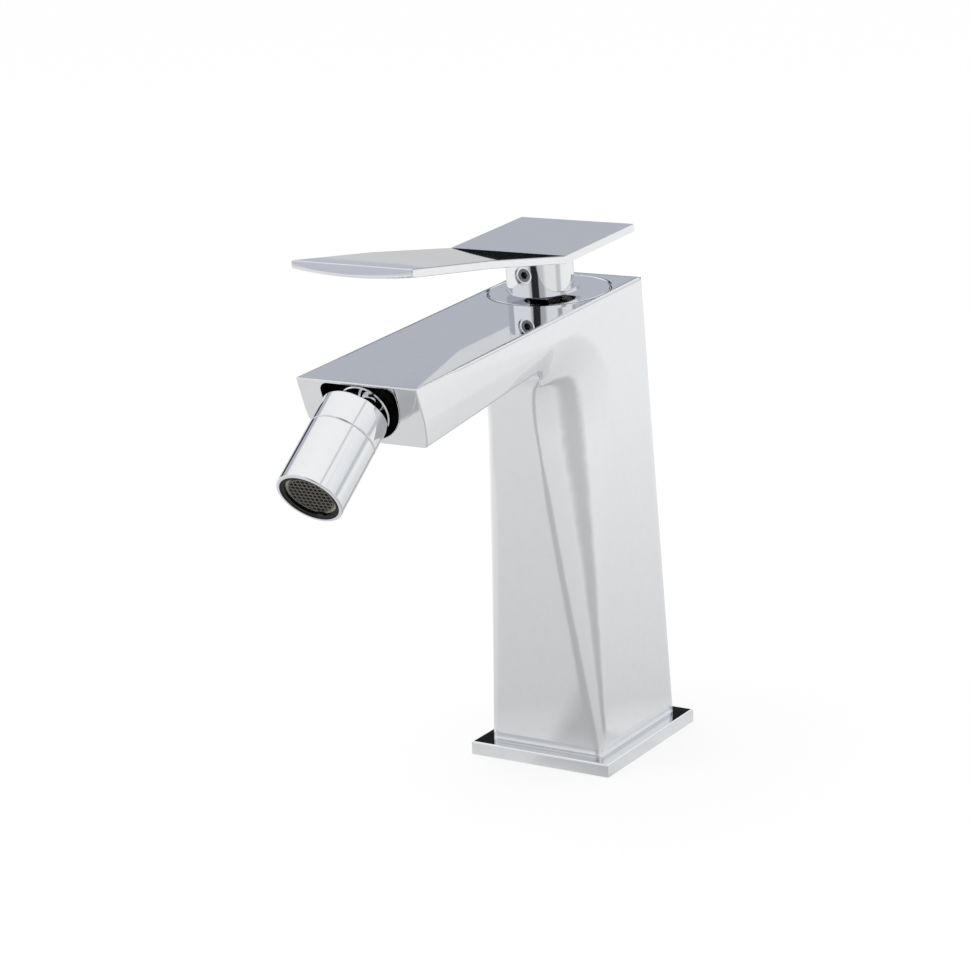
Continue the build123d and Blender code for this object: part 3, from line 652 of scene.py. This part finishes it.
@dataclass
class Cartridge(SubAssembly):
    """The ceramic disc cartridge with its nut."""

    def build(self) -> None:
        """Dress the cartridge's pieces."""
        self.dress(self.finishes.natural_acetal, "cartridge_base", "cartridge_housing")
        self.dress(self.finishes.natural_acetal, "spindle_guide", "disc_carrier")
        self.dress(self.finishes.ceramic, "fixed_disc", "moving_disc")
        self.dress(self.finishes.rubber, "port_seals", "disc_seals")
        self.dress(self.finishes.brass, "retaining_nut")
        self.dress(self.finishes.steel, "spindle_pin", "cartridge_spindle")


@dataclass
class Lever(SubAssembly):
    """The bent plate lever with its clamp screw, creased sharply where it bends."""

    smooth_angle: float = 10.5

    def build(self) -> None:
        """Dress the lever's pieces."""
        self.dress(self.finishes.chrome, "lever_handle")
        self.dress(self.finishes.steel, "grub_screw")


@dataclass
class SwivelNozzle(SubAssembly):
    """The ball-jointed nozzle with its aerator."""

    def build(self) -> None:
        """Dress the nozzle's pieces."""
        self.dress(self.finishes.chrome, "nozzle_nipple", "nozzle_collar", "nozzle_body")
        self.dress(self.finishes.black_acetal, "ball_liner", "aerator_housing")
        self.dress(self.finishes.grey_acetal, "aerator_insert")
        self.dress(self.finishes.umber_acetal, "aerator_mesh")
        self.dress(self.finishes.rubber, "nipple_washer", "ball_seal", "aerator_seal")


@dataclass(frozen=True)
class StudioCard:
    """A card that darkens a part of the surroundings, placed by compass and height.

    Azimuth is in degrees from +X towards +Y. Low and high are elevations in degrees. The shade is the
    share of red, green and blue that the card lets through, and soft is how wide its edges fade.
    """

    azimuth: float
    half_width: float
    low: float
    high: float
    shade: tuple[float, float, float]
    soft: float


@dataclass
class Studio:
    """Pale floor, soft surroundings, lamp and camera."""

    floor_radius: float = 12.0
    floor_sides: int = 96
    floor_colour: str = "#fcfcfc"
    floor_roughness: float = 0.9
    # Share of the paint's own light in what is seen of the floor, which sets how deep its shadow is
    paint_share: float = 0.28
    # Height above the floor from which the cards' places on the floor are seen
    head_height: float = 0.18
    # Sine of the elevation, and the level of red, green and blue that chrome mirrors there
    sky: tuple[tuple[float, tuple[float, float, float, float]], ...] = (
        (0.0, (0.60, 0.62, 0.68, 1.0)),
        (0.06, (0.62, 0.64, 0.69, 1.0)),
        (0.12, (0.86, 0.87, 0.89, 1.0)),
        (0.3, (0.93, 0.935, 0.95, 1.0)),
        (0.62, (1.0, 1.0, 1.0, 1.0)),
        (1.0, (1.04, 1.04, 1.04, 1.0)),
    )
    # Painted shade on the floor as chrome mirrors it: distance from the column in metres, and the level
    # there
    mirrored_floor_shade: tuple[tuple[float, float], ...] = (
        (0.0, 0.86),
        (0.042, 0.84),
        (0.07, 0.66),
        (0.2, 0.73),
        (0.37, 0.82),
        (0.6, 0.93),
        (1.05, 1.0),
        (1.6, 0.92),
        (3.0, 0.62),
    )
    cards: tuple[StudioCard, ...] = (
        # Grey wall behind, two dark strips on it, and a darker floor before it
        StudioCard(128.0, 62.0, 3.0, 27.0, (0.535, 0.555, 0.603), 8.0),
        StudioCard(118.0, 44.0, 4.2, 12.8, (0.02, 0.02, 0.02), 1.2),
        StudioCard(120.0, 24.0, 18.8, 25.0, (0.03, 0.03, 0.03), 0.6),
        StudioCard(122.0, 34.0, -15.0, -0.5, (0.76, 0.76, 0.78), 3.0),
        # Broad grey card in front, with a dark strip
        StudioCard(288.0, 24.0, -80.0, 60.0, (0.55, 0.55, 0.55), 14.0),
        StudioCard(282.0, 11.0, -22.0, 20.0, (0.06, 0.06, 0.06), 5.0),
        # Grey panel on the left, and a faint shade over the floor in front
        StudioCard(235.0, 28.0, 22.0, 44.0, (0.7, 0.7, 0.72), 8.0),
        StudioCard(290.0, 62.0, -80.0, -4.0, (0.86, 0.86, 0.86), 12.0),
        # Seam between two white softboxes on the right, and a grey line over them
        StudioCard(3.0, 3.0, -80.0, 30.0, (0.5, 0.5, 0.5), 20.0),
        StudioCard(5.0, 14.0, 46.5, 51.5, (0.72, 0.72, 0.72), 2.5),
    )
    # Added to a card's sideways fade, as a cosine, so that the fade always has a width
    fade_step: float = 0.001
    camera_place: tuple[float, float, float] = (0.51831, -0.90498, 0.37830)
    camera_yaw: float = 31.72
    camera_pitch: float = 14.80
    camera_roll: float = -2.13
    # Focal length and sensor width in millimetres
    focal_length: float = 105.23
    sensor_width: float = 36.0
    near_clip: float = 0.01
    lamp_place: tuple[float, float, float] = (-0.5, -0.9, 1.7)
    lamp_aim: tuple[float, float, float] = (0.0, -0.05, 0.1)
    lamp_size: tuple[float, float] = (1.4, 1.0)
    lamp_watts: float = 6.0

    def build_floor(self) -> Object:
        """Lay the pale floor.

        Returns:
            The floor object.
        """
        corners = range(self.floor_sides)
        turns = [math.tau * corner / self.floor_sides for corner in corners]
        ring = [(self.floor_radius * math.cos(t), self.floor_radius * math.sin(t), 0.0) for t in turns]
        mesh: Mesh = bpy.data.meshes.new("floor")
        mesh.from_pydata(ring, [], [tuple(corners)])
        floor = bpy.data.objects.new("floor", mesh)
        bpy.context.scene.collection.objects.link(floor)
        mesh.materials.append(self.floor_material())
        return floor

    def floor_material(self) -> Material:
        """Make the floor's pale paint, which keeps a faint shadow.

        Returns:
            The floor's material.
        """
        material, tree, shader = new_material("pale_floor")
        output = tree.nodes["Material Output"]
        shader.inputs["Base Color"].default_value = to_linear(self.floor_colour)
        shader.inputs["Roughness"].default_value = self.floor_roughness
        place = add_node(tree, "ShaderNodeTexCoord").outputs["Object"]
        distance = add_node(tree, "ShaderNodeVectorMath", {0: place}, operation="LENGTH")
        # What chrome mirrors of the floor is painted shade, set by the distance from the column, with the
        # cards laid over it
        reach = self.mirrored_floor_shade[-1][0]
        share = add_node(
            tree, "ShaderNodeMath", {0: distance.outputs["Value"], 1: reach}, operation="DIVIDE"
        )
        shade_by_distance = add_node(tree, "ShaderNodeValToRGB", {"Fac": share.outputs[0]})
        fill_ramp(shade_by_distance, [(d / reach, (v, v, v, 1.0)) for d, v in self.mirrored_floor_shade])
        sight = add_node(
            tree, "ShaderNodeVectorMath", {0: place, 1: (0.0, 0.0, self.head_height)}, operation="SUBTRACT"
        )
        aim = add_node(tree, "ShaderNodeVectorMath", {0: sight.outputs[0]}, operation="NORMALIZE")
        level = self.lay_cards(tree, aim.outputs[0], shade_by_distance.outputs["Color"])
        path = add_node(tree, "ShaderNodeLightPath")
        seen_level = add_node(
            tree,
            "ShaderNodeMix",
            {0: path.outputs["Is Camera Ray"], 6: level, 7: WHITE},
            data_type="RGBA",
        )
        glow = add_node(tree, "ShaderNodeEmission", {"Color": seen_level.outputs[2], "Strength": 1.0})
        paint = add_node(
            tree, "ShaderNodeMixShader", {0: self.paint_share, 1: glow.outputs[0], 2: shader.outputs[0]}
        )
        mix = add_node(
            tree,
            "ShaderNodeMixShader",
            {0: self.seen_directly(tree), 1: shader.outputs[0], 2: paint.outputs[0]},
        )
        tree.links.new(mix.outputs[0], output.inputs["Surface"])
        return material

    def seen_directly(self, tree: NodeTree) -> NodeSocket:
        """Factor that is one for what the camera sees, straight, mirrored or through glass.

        Args:
            tree: The node tree that gets the nodes.

        Returns:
            The socket with the factor.
        """
        path = add_node(tree, "ShaderNodeLightPath")
        mirrored = add_node(
            tree,
            "ShaderNodeMath",
            {0: path.outputs["Is Camera Ray"], 1: path.outputs["Is Glossy Ray"]},
            operation="MAXIMUM",
        )
        seen = add_node(
            tree,
            "ShaderNodeMath",
            {0: mirrored.outputs[0], 1: path.outputs["Is Transmission Ray"]},
            operation="MAXIMUM",
        )
        return seen.outputs[0]

    def build_surroundings(self) -> None:
        """Make the world: white behind the object, soft grey sky and cards in its mirror image."""
        world = bpy.data.worlds.new("studio")
        bpy.context.scene.world = world
        world.use_nodes = True
        tree = world.node_tree
        tree.nodes.clear()
        direction = add_node(tree, "ShaderNodeTexCoord").outputs["Generated"]
        axes = add_node(tree, "ShaderNodeSeparateXYZ", {0: direction})
        sky = add_node(tree, "ShaderNodeValToRGB", {"Fac": axes.outputs["Z"]})
        fill_ramp(sky, list(self.sky))
        level = self.lay_cards(tree, direction, sky.outputs["Color"])
        mirror = add_node(tree, "ShaderNodeBackground", {"Color": level, "Strength": 1.0})
        white = add_node(tree, "ShaderNodeBackground", {"Color": WHITE, "Strength": 1.0})
        path = add_node(tree, "ShaderNodeLightPath")
        mirrored = add_node(
            tree,
            "ShaderNodeMixShader",
            {0: path.outputs["Is Camera Ray"], 1: mirror.outputs[0], 2: white.outputs[0]},
        )
        mix = add_node(
            tree,
            "ShaderNodeMixShader",
            {0: self.seen_directly(tree), 1: white.outputs[0], 2: mirrored.outputs[0]},
        )
        add_node(tree, "ShaderNodeOutputWorld", {"Surface": mix.outputs[0]})

    def lay_cards(self, tree: NodeTree, direction: NodeSocket, level: NodeSocket) -> NodeSocket:
        """Lay every card over a level that chrome mirrors.

        Args:
            tree: The node tree of the world or of the floor.
            direction: The direction that is mirrored, one long.
            level: The level without the cards.

        Returns:
            The level with the cards in it.
        """
        axes = add_node(tree, "ShaderNodeSeparateXYZ", {0: direction})
        flat = add_node(
            tree, "ShaderNodeVectorMath", {0: direction, 1: (1.0, 1.0, 0.0)}, operation="MULTIPLY"
        )
        compass = add_node(tree, "ShaderNodeVectorMath", {0: flat.outputs[0]}, operation="NORMALIZE")
        for card in self.cards:
            level = self.lay_card(tree, card, compass.outputs[0], axes.outputs["Z"], level)
        return level

    def lay_card(
        self, tree: NodeTree, card: StudioCard, compass: NodeSocket, height: NodeSocket, level: NodeSocket
    ) -> NodeSocket:
        """Lay one card over a level that chrome mirrors.

        Args:
            tree: The node tree of the world or of the floor.
            card: The card to lay.
            compass: The direction's level part, one long.
            height: The sine of the direction's elevation.
            level: The level so far.

        Returns:
            The level with the card in it.
        """
        centre = (math.cos(math.radians(card.azimuth)), math.sin(math.radians(card.azimuth)), 0.0)
        facing = add_node(tree, "ShaderNodeVectorMath", {0: compass, 1: centre}, operation="DOT_PRODUCT")
        fade = card.soft / 2
        outer = math.cos(math.radians(card.half_width + fade)) - self.fade_step
        inner = math.cos(math.radians(max(0.0, card.half_width - fade)))
        across = add_node(
            tree,
            "ShaderNodeMapRange",
            {"Value": facing.outputs["Value"], "From Min": outer, "From Max": inner},
            interpolation_type="SMOOTHSTEP",
        )
        rise = [math.sin(math.radians(card.low + side * fade)) for side in (-1, 1)]
        fall = [math.sin(math.radians(card.high + side * fade)) for side in (-1, 1)]
        above = add_node(
            tree,
            "ShaderNodeMapRange",
            {"Value": height, "From Min": rise[0], "From Max": rise[1]},
            interpolation_type="SMOOTHSTEP",
        )
        below = add_node(
            tree,
            "ShaderNodeMapRange",
            {"Value": height, "From Min": fall[0], "From Max": fall[1], "To Min": 1.0, "To Max": 0.0},
            interpolation_type="SMOOTHSTEP",
        )
        band = add_node(
            tree, "ShaderNodeMath", {0: above.outputs[0], 1: below.outputs[0]}, operation="MULTIPLY"
        )
        cover = add_node(
            tree, "ShaderNodeMath", {0: band.outputs[0], 1: across.outputs[0]}, operation="MULTIPLY"
        )
        mixed = add_node(
            tree,
            "ShaderNodeMix",
            {0: cover.outputs[0], 6: level, 7: (*card.shade, 1.0)},
            data_type="RGBA",
            blend_type="MULTIPLY",
        )
        return mixed.outputs[2]

    def build_camera(self) -> Object:
        """Set the camera at the photograph's angle.

        Returns:
            The camera object.
        """
        data = bpy.data.cameras.new("camera")
        camera = bpy.data.objects.new("camera", data)
        bpy.context.scene.collection.objects.link(camera)
        data.sensor_width = self.sensor_width
        data.lens = self.focal_length
        data.clip_start = self.near_clip
        yaw, pitch, roll = (math.radians(a) for a in (self.camera_yaw, self.camera_pitch, self.camera_roll))
        level_forward = Vector((-math.sin(yaw), math.cos(yaw), 0.0))
        forward = level_forward * math.cos(pitch) - Vector((0.0, 0.0, math.sin(pitch)))
        level_right = Vector((math.cos(yaw), math.sin(yaw), 0.0))
        level_up = level_right.cross(forward)
        right = level_right * math.cos(roll) + level_up * math.sin(roll)
        up = level_up * math.cos(roll) - level_right * math.sin(roll)
        pose = Matrix((right, up, -forward)).transposed().to_4x4()
        pose.translation = Vector(self.camera_place)
        camera.matrix_world = pose
        bpy.context.scene.camera = camera
        return camera

    def build_lamp(self) -> Object:
        """Hang a soft lamp above and in front, for a faint shadow on the floor.

        Returns:
            The lamp object.
        """
        data = bpy.data.lights.new("overhead_softbox", "AREA")
        data.shape = "RECTANGLE"
        data.size, data.size_y = self.lamp_size
        data.energy = self.lamp_watts
        lamp = bpy.data.objects.new("overhead_softbox", data)
        bpy.context.scene.collection.objects.link(lamp)
        lamp.location = self.lamp_place
        beam = Vector(self.lamp_aim) - Vector(self.lamp_place)
        lamp.rotation_euler = beam.to_track_quat("-Z", "Y").to_euler()
        lamp.visible_glossy = False
        return lamp

    def build(self) -> None:
        """Build the whole studio."""
        self.build_floor()
        self.build_surroundings()
        self.build_lamp()
        self.build_camera()
        bpy.context.scene.view_settings.view_transform = "Standard"


def main() -> None:
    """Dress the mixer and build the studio."""
    logging.basicConfig(level=logging.INFO, format="%(name)s: %(message)s")
    finishes = Finishes()
    for part in (Column(finishes), Cartridge(finishes), Lever(finishes), SwivelNozzle(finishes)):
        part.build()
        log.info("built %s", type(part).__name__)
    Studio().build()


if __name__ == "__main__":
    main()
